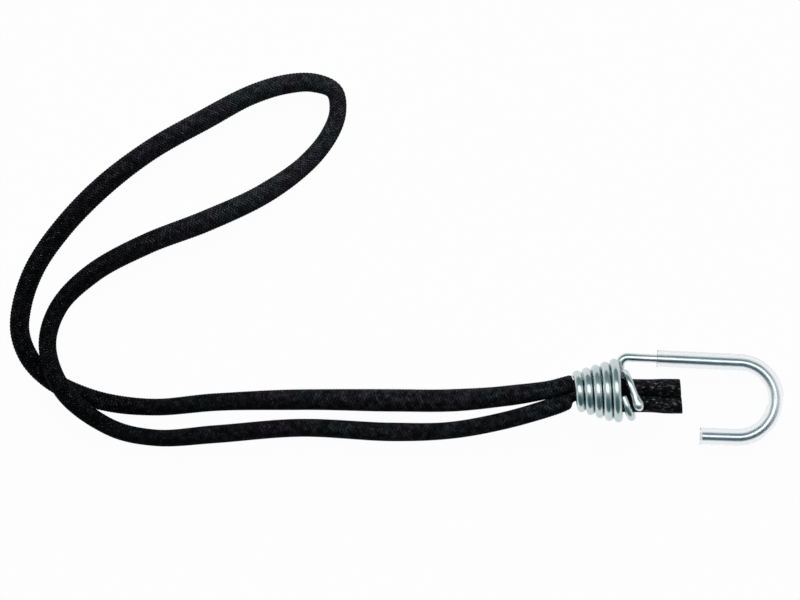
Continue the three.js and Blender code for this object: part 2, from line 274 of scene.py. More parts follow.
# %% [markdown]
# ## Line of the hook wire
# The hook is one wire: a conical spiral, a run-out over the table side, a straight shank, a round bend
# and a short tip. It could be drawn by hand as a curve, but every place on it follows from a few sizes,
# so its line is worked out.

# %% Sizes of the hook
WIRE = 3.8 * MM
HOOK_CENTRE = Vector((26.593, -0.855, 0)) * MM
HOOK_RADIUS = 16.5 * MM
SHANK_LENGTH = 49.3 * MM
SHANK_HEADING = math.radians(-2.7)
TIP_LENGTH = 15.1 * MM
TIP_HEADING = math.radians(-181.9)
RUN_OUT_BEND = 3.4 * MM
SLEEVE = 7.5 * MM
SLEEVE_GAP = 0.25 * MM
SLEEVE_ON_SHANK = 36.6 * MM
SLEEVE_PAST_TIP = 1.25 * MM
SHANK_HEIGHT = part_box("hook_sleeve")[1].z / 2

COIL_SMALL = 6.9 * MM
COIL_LARGE = 12.1 * MM
COIL_PITCH = 4.04 * MM
COIL_TAPER_TURNS = 4
COIL_FIRST, COIL_LAST = -0.055, 4.752
COIL_AXIS_Y = 3.395 * MM
COIL_AXIS_Z = COIL_LARGE + WIRE / 2


def lerp(first, second, share):
    return first + (second - first) * share


def clamp(value, low=0.0, high=1.0):
    return min(max(value, low), high)


def smoothstep(value, low, high):
    share = clamp((value - low) / (high - low))
    return share * share * (3 - 2 * share)


def spread(steps, point_at):
    """Points of a function of 0 to 1, evenly spread, with both ends."""
    return [point_at(i / steps) for i in range(steps + 1)]


def towards(heading):
    return Vector((math.cos(heading), math.sin(heading), 0))


def on_hook(heading):
    """Point on the round bend where the wire has this heading."""
    return HOOK_CENTRE + HOOK_RADIUS * towards(heading + math.pi / 2) + SHANK_HEIGHT * UP


shank_end = on_hook(SHANK_HEADING)
shank_start = shank_end - SHANK_LENGTH * towards(SHANK_HEADING)
run_out_x = shank_start.x + RUN_OUT_BEND * math.sin(SHANK_HEADING)
run_out_y = shank_start.y - RUN_OUT_BEND * math.cos(SHANK_HEADING)
coil_mouth_x = run_out_x - RUN_OUT_BEND
coil_small_x = coil_mouth_x - COIL_PITCH * COIL_LAST
print("spiral from x", round(coil_small_x / MM, 2), "to", round(coil_mouth_x / MM, 2), "mm")


# %% Line of the wire
STEPS_PER_TURN = 72
RUN_OUT_STEPS = 40
BEND_STEPS = 72
STRAIGHT_STEPS = 24


def on_coil(turn):
    """Point on the spiral, by turns from the top of its first strand."""
    radius = lerp(COIL_SMALL, COIL_LARGE, clamp(turn / COIL_TAPER_TURNS))
    angle = 2 * math.pi * turn
    return Vector((
        coil_small_x + COIL_PITCH * turn,
        COIL_AXIS_Y + radius * math.cos(angle),
        COIL_AXIS_Z + radius * math.sin(angle),
    ))


def on_run_out(share):
    """Point on the wire from the spiral across the table side and round into the shank."""
    leave = on_coil(COIL_LAST)
    straight = run_out_y - leave.y
    gone = share * (straight + RUN_OUT_BEND * (math.pi / 2 - SHANK_HEADING))
    heading = math.pi / 2 - max(gone - straight, 0) / RUN_OUT_BEND
    return Vector((
        run_out_x - RUN_OUT_BEND * math.sin(heading),
        run_out_y + RUN_OUT_BEND * math.cos(heading) - max(straight - gone, 0),
        lerp(leave.z, SHANK_HEIGHT, smoothstep(share, 0, 1)),
    ))


def hook_run(on_shank, on_tip):
    """Shank, bend and tip: the wire and its sleeve take different lengths of the same run."""
    start = shank_end - on_shank * towards(SHANK_HEADING)
    bend_end = on_hook(TIP_HEADING)
    tip = bend_end + on_tip * towards(TIP_HEADING)
    return (
        spread(STRAIGHT_STEPS, lambda s: start.lerp(shank_end, s))
        + spread(BEND_STEPS, lambda s: on_hook(lerp(SHANK_HEADING, TIP_HEADING, s)))[1:]
        + spread(STRAIGHT_STEPS, lambda s: bend_end.lerp(tip, s))[1:]
    )


coil_steps = round((COIL_LAST - COIL_FIRST) * STEPS_PER_TURN)
hook_line = (
    spread(coil_steps, lambda s: on_coil(lerp(COIL_FIRST, COIL_LAST, s)))
    + spread(RUN_OUT_STEPS, on_run_out)[1:]
    + hook_run(SHANK_LENGTH, TIP_LENGTH)[1:]
)
print("hook wire line:", len(hook_line), "points")

# %% [markdown]
# ## Line of the cord
# The cord is one line from cut end to cut end: through the spiral, along the upper leg, round the loop,
# over itself and back along the lower leg. Its free route is a list of given places, with the
# height of the gap under the cord and the cord's thickness there, because real elastic swells and thins.
# The gripped ends follow from the spiral. One smooth curve goes through all of them.

# %% Route of the free cord
# x from the spiral's small end, y, clear height under the cord, thickness; all in metres
ROUTE = (
    (-0.0106, 0.0042, 0.0095, 0.0077), (-0.0313, 0.0010, 0.0050, 0.0089),
    (-0.0555, -0.0010, 0.0005, 0.0098), (-0.0819, -0.0010, 0.0, 0.0098),
    (-0.1215, -0.0007, 0.0, 0.0090), (-0.1589, -0.0018, 0.0, 0.0077),
    (-0.1853, -0.0040, 0.0, 0.0073), (-0.2051, -0.0022, 0.0, 0.0078),
    (-0.2206, 0.0023, 0.0, 0.0083), (-0.2323, 0.0086, 0.0, 0.0084),
    (-0.2408, 0.0176, 0.0, 0.0085), (-0.2450, 0.0289, 0.0, 0.0084),
    (-0.2440, 0.0415, 0.0, 0.0086), (-0.2383, 0.0574, 0.0, 0.0088),
    (-0.2268, 0.0742, 0.0, 0.0090), (-0.2094, 0.0924, 0.0, 0.0093),
    (-0.1875, 0.1092, 0.0, 0.0090), (-0.1632, 0.1229, 0.0, 0.0091),
    (-0.1435, 0.1333, 0.0, 0.0086), (-0.1281, 0.1381, 0.0, 0.0085),
    (-0.1158, 0.1388, 0.0, 0.0082), (-0.1067, 0.1351, 0.0, 0.0075),
    (-0.1051, 0.1262, 0.0, 0.0074), (-0.1088, 0.1159, 0.0, 0.0077),
    (-0.1191, 0.1032, 0.0, 0.0081), (-0.1381, 0.0896, 0.0, 0.0090),
    (-0.1632, 0.0779, 0.0, 0.0094), (-0.1896, 0.0677, 0.0, 0.0091),
    (-0.2130, 0.0550, 0.0, 0.0087), (-0.2279, 0.0401, 0.0005, 0.0079),
    (-0.2327, 0.0231, 0.0046, 0.0077), (-0.2255, 0.0033, 0.0090, 0.0082),
    (-0.2051, -0.0129, 0.0013, 0.0074), (-0.1853, -0.0175, 0.0, 0.0072),
    (-0.1589, -0.0159, 0.0, 0.0078), (-0.1215, -0.0131, 0.0, 0.0078),
    (-0.0819, -0.0149, 0.0, 0.0081), (-0.0555, -0.0142, 0.0004, 0.0074),
    (-0.0313, -0.0097, 0.0049, 0.0075), (-0.0106, -0.0036, 0.0095, 0.0077),
)
LOOP_FIRST, LOOP_LAST = 7, 32
# Only the crowns of the yarn reach the outline, so they stand a little over the measured thickness
CROWN = 0.13 * MM

# %% Gripped ends
END_AXIS_Y = 1.345 * MM
END_DIAMETER = 7.2 * MM
PINCHED_DIAMETER = 7.2 * MM
STUB_DIAMETER = 7.55 * MM
STUB_DROOP = 0.45 * MM
UPPER_STUB = 26.2 * MM
LOWER_STUB = 26.8 * MM
RING_STANDOFF = 4.55 * MM
RING_WIRE = 3.6 * MM
# Room inside the spiral, and how far a half-round cord's middle lies from its flat side
SPIRAL_CLEARANCE = 0.35 * MM
FILL = COIL_SMALL - WIRE / 2 - SPIRAL_CLEARANCE
FLAT_OFFSET = 0.42 * FILL
# Squeeze from 0, round, to 1, half round: by millimetres before the spiral, then by share of its length
SQUEEZE_BEFORE = ((2.8, 0.0), (2.35, 0.2), (1.95, 0.75), (1.5, 0.92), (0.7, 1.0))
SQUEEZE_INSIDE = ((0.17, 0.95), (0.42, 0.55), (0.68, 0.15), (0.93, 0.0))


def route_station(line):
    """A place on the free cord: its middle, its radius, no squeeze and no grip."""
    x, y, lift, diameter = line
    radius = diameter / 2 + CROWN
    return Vector((coil_small_x + x, y, lift + radius)), radius, 0.0, 0.0


def end_stations(outwards, stub):
    """Places from the end of a leg through the spiral to the cut tip; outwards is 1 up, -1 down.

    Their sections stand square to the spiral, which the grip tells: its sign is the way of the line.
    """
    join, join_radius, _, _ = route_station(ROUTE[0] if outwards > 0 else ROUTE[-1])
    join_axis_y = join.y - outwards * (join_radius - CROWN)
    past_ring = coil_mouth_x + 2 * RING_STANDOFF + RING_WIRE
    tip = coil_mouth_x + stub
    places = [(coil_small_x - before * MM, END_DIAMETER, squeeze) for before, squeeze in SQUEEZE_BEFORE]
    for share, squeeze in SQUEEZE_INSIDE:
        x = lerp(coil_small_x, coil_mouth_x, share)
        places.append((x, lerp(END_DIAMETER, PINCHED_DIAMETER, share), squeeze))
    places.append((past_ring, PINCHED_DIAMETER, 0.0))
    places.append(((past_ring + tip) / 2, STUB_DIAMETER, 0.0))
    places.append((tip, STUB_DIAMETER, 0.0))
    stations = []
    for x, diameter, squeeze in places:
        entered = smoothstep(x, join.x, coil_small_x)
        through = smoothstep(x, coil_small_x, coil_mouth_x)
        axis_y = lerp(lerp(join_axis_y, COIL_AXIS_Y, entered), END_AXIS_Y, through)
        axis_y -= STUB_DROOP * smoothstep(x, coil_mouth_x, tip)
        from_axis = lerp(diameter / 2, FLAT_OFFSET, squeeze)
        point = Vector((x, axis_y + outwards * from_axis, lerp(join.z, COIL_AXIS_Z, entered)))
        stations.append((point, diameter / 2 + CROWN, squeeze, -outwards))
    return stations


# %% One smooth line through every place
LINE_STEP = 0.5 * MM


def through(values, knots, at):
    """The middle span of a curve through four values, with knots spaced by the root of their distance."""
    first = lerp(values[0], values[1], (at - knots[0]) / (knots[1] - knots[0]))
    second = lerp(values[1], values[2], (at - knots[1]) / (knots[2] - knots[1]))
    third = lerp(values[2], values[3], (at - knots[2]) / (knots[3] - knots[2]))
    before = lerp(first, second, (at - knots[0]) / (knots[2] - knots[0]))
    after = lerp(second, third, (at - knots[1]) / (knots[3] - knots[1]))
    return lerp(before, after, (at - knots[1]) / (knots[2] - knots[1]))


def smooth_line(stations):
    """Places, radii, squeezes and grips a step apart, and the length at which each station lies."""
    places, radii, squeezes, grips = zip(*stations)
    places = [2 * places[0] - places[1], *places, 2 * places[-1] - places[-2]]
    line = [stations[0]]
    lengths = [0.0]
    for i in range(len(stations) - 1):
        four = places[i:i + 4]
        knots = [0.0]
        for a, b in zip(four, four[1:]):
            knots.append(knots[-1] + math.sqrt((b - a).length))
        steps = math.ceil((four[2] - four[1]).length / LINE_STEP)
        for step in range(1, steps + 1):
            share = step / steps
            place = through(four, knots, lerp(knots[1], knots[2], share))
            radius = lerp(radii[i], radii[i + 1], smoothstep(share, 0, 1))
            place.z = max(place.z, radius)
            squeeze = lerp(squeezes[i], squeezes[i + 1], share)
            line.append((place, radius, squeeze, lerp(grips[i], grips[i + 1], share)))
        lengths.append(sum((b[0] - a[0]).length for a, b in zip(line, line[1:])))
    return line, lengths


upper_end = end_stations(1, UPPER_STUB)[::-1]
lower_end = end_stations(-1, LOWER_STUB)
cord_line, station_lengths = smooth_line(upper_end + [route_station(s) for s in ROUTE] + lower_end)
route_lengths = station_lengths[len(upper_end):len(upper_end) + len(ROUTE)]
cord_length = station_lengths[-1]
print("cord line:", len(cord_line), "points,", round(cord_length, 3), "m from cut end to cut end")


# %% [markdown]
# ## Bending a rod along a line
# Wire, yarn and rubber are all rods that follow a line, so one rule makes them: Geometry Nodes take a
# straight closed cylinder and move each of its points to its place along the line. A curve with a bevel
# would be quicker, but it can't carry yarn over and under, squeeze a cord to a half round, or keep a neat
# UV map.


# %% A line as a mesh with its numbers
def line_mesh(name, points, **numbers):
    """A chain of points whose named numbers a node tree can read."""
    mesh = bpy.data.meshes.new(name)
    mesh.from_pydata(points, [(i, i + 1) for i in range(len(points) - 1)], [])
    for number, values in numbers.items():
        mesh.attributes.new(number, "FLOAT", "POINT").data.foreach_set("value", values)
    return mesh


def rule(name, **inputs):
    """A Geometry Nodes tree with named inputs; gives the tree's helper and its input sockets."""
    tree = bpy.data.node_groups.new(name, "GeometryNodeTree")
    tree.interface.new_socket("Geometry", in_out="INPUT", socket_type="NodeSocketGeometry")
    tree.interface.new_socket("Geometry", in_out="OUTPUT", socket_type="NodeSocketGeometry")
    for label, kind in inputs.items():
        tree.interface.new_socket(label, in_out="INPUT", socket_type="NodeSocket" + kind)
    t = Tree(tree)
    return t, t.add("NodeGroupInput").outputs


def close_rule(t, mesh, material):
    """The end of every tree: real geometry, smooth shading and a material."""
    real = t.add("GeometryNodeRealizeInstances", {"Geometry": mesh})
    smooth = t.add("GeometryNodeSetShadeSmooth", {"Geometry": real.outputs[0]})
    painted = t.add("GeometryNodeSetMaterial", {"Geometry": smooth.outputs[0], "Material": material})
    t.add("NodeGroupOutput", {"Geometry": painted.outputs[0]})


def apply_rule(name, mesh, t, **inputs):
    """Runs a tree on a mesh and keeps the result as a plain mesh object."""
    maker = bpy.data.objects.new(name + "_maker", mesh)
    bpy.context.collection.objects.link(maker)
    modifier = maker.modifiers.new("rule", "NODES")
    modifier.node_group = t.tree
    for item in t.tree.interface.items_tree:
        if item.name in inputs:
            modifier[item.identifier] = inputs[item.name]
    depsgraph = bpy.context.evaluated_depsgraph_get()
    made = bpy.data.meshes.new_from_object(
        maker.evaluated_get(depsgraph), preserve_all_data_layers=True, depsgraph=depsgraph)
    bpy.data.objects.remove(maker)
    made.name = name
    piece = bpy.data.objects.new(name, made)
    bpy.context.collection.objects.link(piece)
    print(name, "has", sum(len(p.vertices) - 2 for p in made.polygons), "triangles")
    return piece


# %% Reading the line in a tree
def named(t, name, kind="FLOAT"):
    node = t.add("GeometryNodeInputNamedAttribute", {"Name": name}, data_type=kind)
    return node.outputs["Attribute"]


def sample(t, curve, length, number=None):
    """Place, direction and normal of a curve at a length, or one of its named numbers there."""
    line = {"Curves": curve, "Length": length}
    node = t.add("GeometryNodeSampleCurve", line, mode="LENGTH", data_type="FLOAT")
    if number:
        t.join(named(t, number), node.inputs["Value"])
        return node.outputs["Value"]
    return node.outputs["Position"], node.outputs["Tangent"], node.outputs["Normal"]


def around(t, middle, side, rise, angle, radius):
    """Point at an angle and a radius round a middle."""
    over = t.vector("SCALE", side, t.times(radius, t.math("COSINE", angle)))
    up = t.vector("SCALE", rise, t.times(radius, t.math("SINE", angle)))
    return t.vector("ADD", middle, t.vector("ADD", over, up))


def store(t, mesh, name, value, kind="FLOAT", domain="POINT"):
    number = {"Geometry": mesh, "Name": name, "Value": value}
    return t.add("GeometryNodeStoreNamedAttribute", number, data_type=kind, domain=domain).outputs[0]


def straight_rod(t, sides, steps):
    """A closed cylinder of radius 1 from z = 0 to 1, with its map kept as rod_map."""
    shape = {"Vertices": sides, "Side Segments": steps, "Radius": 1.0, "Depth": 1.0}
    rod = t.add("GeometryNodeMeshCylinder", shape, fill_type="NGON").outputs
    lifted = t.add("GeometryNodeTransform", {"Geometry": rod["Mesh"], "Translation": (0, 0, 0.5)})
    return store(t, lifted.outputs[0], "rod_map", rod["UV Map"], "FLOAT2", "CORNER")


def rod_rule(name, sides):
    """A tree that bends rods, with its curve, a straight rod, places on that and lengths along the line."""
    t, inputs = rule(name, First="Float", Last="Float", Steps="Int", Material="Material")
    curve = t.add("GeometryNodeMeshToCurve", {"Mesh": inputs["Geometry"]}).outputs[0]
    rod = straight_rod(t, sides, inputs["Steps"])
    local = t.parts(t.add("GeometryNodeInputPosition").outputs[0])
    length = t.between(local["Z"], inputs["First"], inputs["Last"])
    return t, inputs["Material"], curve, rod, local, length


def close_rod(t, mesh, place, material):
    """Moves the rod's points to their places and ends the tree."""
    moved = t.add("GeometryNodeSetPosition", {"Geometry": mesh, "Position": place})
    close_rule(t, moved.outputs[0], material)
    return t


# %% [markdown]
# ## Finishes
# Bright zinc isn't one colour: drawn wire has fine lines along it. Where it is wound the plate is painted
# darker and greener, and the straight wire lighter: a painted reflection of the dark teal that the spiral
# reflects. The yarn is near black, its dye drifts between purple and green, and pale flecks painted into
# its colour are painted glints, where single filaments catch the light. Yarn that dips under the weave is
# painted darker: painted shade.
# It wears lighter where it is rubbed, and the ends are melted to a glossy crust with pale streaks, partly
# dust and partly painted glints. Painted pictures could show all this, but patterns made by nodes have no
# seams and stay sharp at any size. They follow the wire and the yarn by the numbers that their trees store.


# %% Helpers for finishes
def on_piece(t):
    """The place on a piece, to which its patterns stick."""
    return t.add("ShaderNodeTexCoord").outputs["Object"]


def attribute(t, name, output="Fac"):
    return t.add("ShaderNodeAttribute", attribute_name=name).outputs[output]


def noise(t, place, scale, detail):
    return t.add("ShaderNodeTexNoise", {"Vector": place, "Scale": scale, "Detail": detail}).outputs["Fac"]


def stretched(t, place, scale):
    return t.add("ShaderNodeMapping", {"Vector": place, "Scale": scale}).outputs[0]


def bump(t, height, strength, distance):
    node = t.add("ShaderNodeBump", {"Height": height, "Strength": strength, "Distance": distance})
    return node.outputs["Normal"]


def ramp(t, value, stops):
    """A colour by a value; each stop is a value and its colour."""
    node = t.add("ShaderNodeValToRGB", {"Fac": value})
    elements = node.color_ramp.elements
    for element, (position, colour) in ((elements[0], stops[0]), (elements[1], stops[-1])):
        element.position = position
        element.color = (*colour, 1)
    for position, colour in stops[1:-1]:
        elements.new(position).color = (*colour, 1)
    return node.outputs["Color"]


# %% Zinc plate
# Painted reflection: the wound plate is painted darker and teal, and the straight wire lighter
WOUND_ZINC_PAINTED_DARKER = ((0.3, (0.48, 0.58, 0.59)), (0.7, (0.65, 0.72, 0.72)))
STRAIGHT_ZINC_PAINTED_LIGHTER = ((0.3, (0.72, 0.75, 0.78)), (0.7, (0.86, 0.88, 0.90)))
STRAIGHT_FROM_X = (-25 * MM, -10 * MM)
STRAIGHT_DULLER = 0.08
ZINC_CLOUDS = 140.0
ZINC_ROUGHNESS = (0.18, 0.3)
ZINC_BUMP = (0.12, 0.05 * MM)


def zinc_plate():
    material, t, principled = shader("zinc_plate")
    place = on_piece(t)
    clouds = noise(t, place, ZINC_CLOUDS, 3.0)
    straight = t.smooth(t.parts(place)["X"], *STRAIGHT_FROM_X)
    lines = noise(t, attribute(t, "wire_grain", "Vector"), 1.0, 4.0)
    drawn = t.between(lines, *ZINC_ROUGHNESS)
    # The base colour is painted darker and teal on the spiral and lighter on the straight wire: painted
    # reflection
    t.fill(principled, {
        "Base Color": t.mix(straight, ramp(t, clouds, WOUND_ZINC_PAINTED_DARKER), ramp(t, clouds, STRAIGHT_ZINC_PAINTED_LIGHTER)),
        "Roughness": t.math("MULTIPLY_ADD", straight, STRAIGHT_DULLER, drawn),
        "Normal": bump(t, lines, *ZINC_BUMP),
        "Metallic": 1.0,
    })
    return material


# %% Clear vinyl
VINYL_TINT = (0.875, 0.90, 0.92, 1)
VINYL_INDEX = 1.4
VINYL_CLOUDS = 90.0
VINYL_ROUGHNESS = (0.0, 0.04)
VINYL_BUMP = (0.02, 0.1 * MM)


def clear_vinyl():
    material, t, principled = shader("clear_vinyl")
    haze = noise(t, on_piece(t), VINYL_CLOUDS, 1.0)
    t.fill(principled, {
        "Base Color": VINYL_TINT,
        "Roughness": t.between(haze, *VINYL_ROUGHNESS),
        "Normal": bump(t, haze, *VINYL_BUMP),
        "Transmission Weight": 1.0,
        "IOR": VINYL_INDEX,
    })
    return material


# %% Shade of the yarn
# Where it is rubbed and handled, in metres, and where each begins to fade and is gone
LOOP_TIP = (-0.155, 0.132, 0.004)
RUBBED_REACH = (0.03, 0.16)
RUBBED_LIGHTER = 0.7
LEG_TOP = (-0.07, 0.0, 0.006)
HANDLED_REACH = (0.04, 0.2)
HANDLED_LIGHTER = 0.36
UNWORN_TONE = 0.62
# Rubbed yarn has a nap that hides this share of the painted shade of the weave
NAP_SHARE = 0.7
PATCH_SCALE = 330.0
PATCH_EDGES = (0.3, 0.7)
PATCH_TONES = (0.67, 1.23)
BUNDLE_TONES = (0.8, 1.2)
# Painted shade of the weave: yarn that dips under its neighbours is coloured darker, raised yarn lighter
CROWN_MIDDLE, CROWN_TONE = 0.6, 1.1
# Free yarn first, then yarn that is fused
WEAVE_SHADE_CONTRASTS = (0.65, 0.15)
FUSED_TONES = (1.0, 0.8)


def near(t, place, spot, reach):
    """1 close to a spot, and fading to 0 over the reach."""
    return t.rest(t.smooth(t.vector("DISTANCE", place, spot), *reach))


def yarn_shade(t, place, filament, fused):
    """How light the yarn is, by its filaments, bundle, patches and wear, with painted shade where the yarn
    dips under its neighbours and lighter raised crowns.
    """
    patchy = t.between(t.smooth(noise(t, place, PATCH_SCALE, 2.0), *PATCH_EDGES), *PATCH_TONES)
    raised = t.math("SUBTRACT", attribute(t, "yarn_crown"), CROWN_MIDDLE)
    # Painted shade: yarn that dips under is coloured darker, raised yarn lighter
    weave_shade = t.math("MULTIPLY_ADD", raised, t.between(fused, *WEAVE_SHADE_CONTRASTS), CROWN_TONE)
    weave_shade = t.times(weave_shade, patchy)
    rubbed = near(t, place, LOOP_TIP, RUBBED_REACH)
    napped = t.times(rubbed, NAP_SHARE)
    weave_shade = t.math("MULTIPLY_ADD", t.rest(weave_shade), napped, weave_shade)
    handled = near(t, place, LEG_TOP, HANDLED_REACH)
    worn = t.math("MULTIPLY_ADD", handled, HANDLED_LIGHTER, UNWORN_TONE)
    worn = t.math("MULTIPLY_ADD", rubbed, RUBBED_LIGHTER, worn)
    shade = t.times(filament, t.between(attribute(t, "yarn_tone"), *BUNDLE_TONES))
    for tone in (weave_shade, worn, t.between(fused, *FUSED_TONES)):
        shade = t.times(shade, tone)
    return shade


# %% Black yarn
YARN_BLACKS = (
    (0.2, (0.0006, 0.0006, 0.0008)), (0.48, (0.0042, 0.0042, 0.0051)),
    (0.72, (0.013, 0.013, 0.015)), (1.0, (0.032, 0.032, 0.036)),
)
DYE_SCALE = 45.0
DYE_EDGES = (0.35, 0.65)
DYE_PURPLE, DYE_GREEN = (1.1, 0.95, 1.1, 1), (0.85, 1.08, 1.05, 1)
# Pale flecks painted into the colour are painted glints, where single filaments catch the light
PAINTED_GLINT_COLOUR = (0.12, 0.125, 0.125, 1)
PAINTED_GLINT_STRETCH = (4.5, 0.8, 1.0)
PAINTED_GLINT_EDGES = (0.66, 0.78)
# Fused yarn has pale streaks in its colour, partly dust and partly painted glints, and a glossy crust round
# them
STREAK_STRETCH = (520.0, 1150.0, 1150.0)
DUST_AND_GLINT_EDGES = (0.62, 0.76)
DUST_AND_GLINT_SHARE = 0.8
CRUST_EDGES = (0.5, 0.6)
CRUST_ROUGHNESS = 0.15
FUSED_SMOOTHER = 0.36
LUMP_SCALE, LUMP_HEIGHT = 420.0, 1.5
YARN_ROUGHNESS = (0.5, 0.75)
YARN_BUMP = (0.5, 0.06 * MM)
YARN_GLOSS = 0.02


def black_yarn():
    material, t, principled = shader("black_yarn")
    place = on_piece(t)
    grain = attribute(t, "yarn_grain", "Vector")
    fused = attribute(t, "fused")
    filament = noise(t, grain, 1.0, 3.0)
    black = ramp(t, yarn_shade(t, place, filament, fused), YARN_BLACKS)
    dye = t.mix(t.smooth(noise(t, place, DYE_SCALE, 1.0), *DYE_EDGES), DYE_PURPLE, DYE_GREEN)
    # Painted glints: pale flecks in the base colour
    painted_glint = t.smooth(noise(t, stretched(t, grain, PAINTED_GLINT_STRETCH), 1.0, 1.0), *PAINTED_GLINT_EDGES)
    streak = noise(t, stretched(t, place, STREAK_STRETCH), 1.0, 1.0)
    # Pale streaks painted into the colour of the fused ends: partly dust, partly painted glints
    dust_and_glint_streaks = t.times(fused, t.times(t.smooth(streak, *DUST_AND_GLINT_EDGES), DUST_AND_GLINT_SHARE))
    painted_glints_and_dust = t.math("MAXIMUM", painted_glint, dust_and_glint_streaks)
    lump = t.times(noise(t, place, LUMP_SCALE, 2.0), fused)
    normal = bump(t, t.math("MULTIPLY_ADD", lump, LUMP_HEIGHT, filament), *YARN_BUMP)
    smoother = t.times(fused, FUSED_SMOOTHER)
    t.fill(principled, {
        "Base Color": t.mix(painted_glints_and_dust, t.mix(1.0, black, dye, "MULTIPLY"), PAINTED_GLINT_COLOUR),
        "Roughness": t.math("SUBTRACT", t.between(filament, *YARN_ROUGHNESS), smoother),
        "Normal": normal,
        "Specular IOR Level": YARN_GLOSS,
        "Coat Weight": t.times(fused, t.smooth(streak, *CRUST_EDGES)),
        "Coat Roughness": CRUST_ROUGHNESS,
        "Coat Normal": normal,
    })
    return material


# %% Dark rubber
RUBBER_TONES = ((0.35, (0.008, 0.008, 0.008)), (0.75, (0.035, 0.034, 0.032)))
RUBBER_CHALK = 900.0
RUBBER_ROUGHNESS = (0.45, 0.8)
RUBBER_BUMP = (0.3, 0.05 * MM)


def dark_rubber():
    material, t, principled = shader("dark_rubber")
    chalk = noise(t, on_piece(t), RUBBER_CHALK, 3.0)
    t.fill(principled, {
        "Base Color": ramp(t, chalk, RUBBER_TONES),
        "Roughness": t.between(chalk, *RUBBER_ROUGHNESS),
        "Normal": bump(t, chalk, *RUBBER_BUMP),
    })
    return material


zinc = zinc_plate()
vinyl = clear_vinyl()
yarn = black_yarn()
rubber = dark_rubber()
print("finishes:", zinc.name, vinyl.name, yarn.name, rubber.name)

# %% [markdown]
# ## Braided sheath
# A shock cord's sheath is braided from flat bundles of yarn. Half of them wind one way and half the
# other, and each goes over two and under two. A picture of a braid on a smooth tube would look flat from
# the side, so each bundle is a real rod here: it winds at its own angle, and a wave lifts it over its
# neighbours and sinks it under them. In the spiral the cord is squeezed to a half round, and the bundles
# follow that shape.


# %% Cord section
CORNER_SHARPNESS = 6.0
LEAST_FACING = 0.01
CUT_SLANT = 0.075
CUT_FADE = 8 * MM
RIM_DEPTH = 0.15 * MM
RIM_LENGTH = 0.8 * MM


def squeezed_radius(t, angle, radius, squeeze):
    """The section's radius at an angle: round, or the half round that fills the spiral, or between."""
    away = t.times(t.math("COSINE", angle), -1.0)
    flatness = t.rest(t.times(away, away))
    chord = t.math("SQRT", t.math("SUBTRACT", FILL ** 2, t.times(flatness, FLAT_OFFSET ** 2)))
    to_arc = t.math("SUBTRACT", chord, t.times(away, FLAT_OFFSET))
    facing = t.math("MAXIMUM", t.times(away, -1.0), LEAST_FACING)
    to_flat = t.math("DIVIDE", FLAT_OFFSET, facing)
    nearer = t.math("DIVIDE", to_arc, to_flat)
    soften = t.math("ADD", 1.0, t.math("POWER", nearer, CORNER_SHARPNESS))
    half_round = t.math("DIVIDE", to_arc, t.math("POWER", soften, 1 / CORNER_SHARPNESS))
    change = t.times(t.math("SUBTRACT", half_round, radius), squeeze)
    return t.math("ADD", radius, change)


def from_tip(t, length):
    """Distance to the nearer cut tip."""
    return t.math("MINIMUM", length, t.math("SUBTRACT", cord_length, length))


def on_cord(t, curve, length, angle, depth):
    """Point on the cord at a length, an angle and a depth; both tips are cut at a slant."""
    middle, direction, _ = sample(t, curve, length)
    grip = sample(t, curve, length, "grip")
    free = t.vector("SCALE", direction, t.rest(t.math("ABSOLUTE", grip)))
    square = t.combine(X=grip)
    heading = t.vector("NORMALIZE", t.vector("ADD", free, square))
    side = t.vector("NORMALIZE", t.vector("CROSS_PRODUCT", tuple(UP), heading))
    rise = t.vector("CROSS_PRODUCT", heading, side)
    radius = squeezed_radius(t, angle, sample(t, curve, length, "cord_radius"),
                             sample(t, curve, length, "squeeze"))
    past_rim = t.smooth(from_tip(t, length), 0.0, RIM_LENGTH)
    rim = t.math("SUBTRACT", RIM_DEPTH, t.times(RIM_DEPTH, past_rim))
    inside = t.math("SUBTRACT", t.math("SUBTRACT", radius, depth), rim)
    place = around(t, middle, side, rise, angle, inside)
    aside = t.parts(t.vector("SUBTRACT", place, middle))["Y"]
    by_tip = t.rest(t.smooth(from_tip(t, length), 0.0, CUT_FADE))
    slant = t.times(t.times(aside, by_tip), -CUT_SLANT)
    return t.vector("ADD", place, t.combine(X=slant))


# %% Yarn braid tree
CARRIERS = 16
BRAID_PITCH = 22 * MM
SAMPLES_PER_CROSSING = 1.5
YARN_HALF_ANGLE = 0.94 * math.pi / CARRIERS
YARN_HALF_THICKNESS = 0.17 * MM
BRAID_LIFT = 0.085 * MM
FUSED_LENGTH = 26 * MM
FUSED_FLATNESS = 0.8
YARN_SIDES = 4
YARN_SEED = 7
# The yarn's pattern: along it, across it, and from one bundle to the next
GRAIN_ALONG, GRAIN_ACROSS, GRAIN_APART = 350.0, 2.2, 9.0


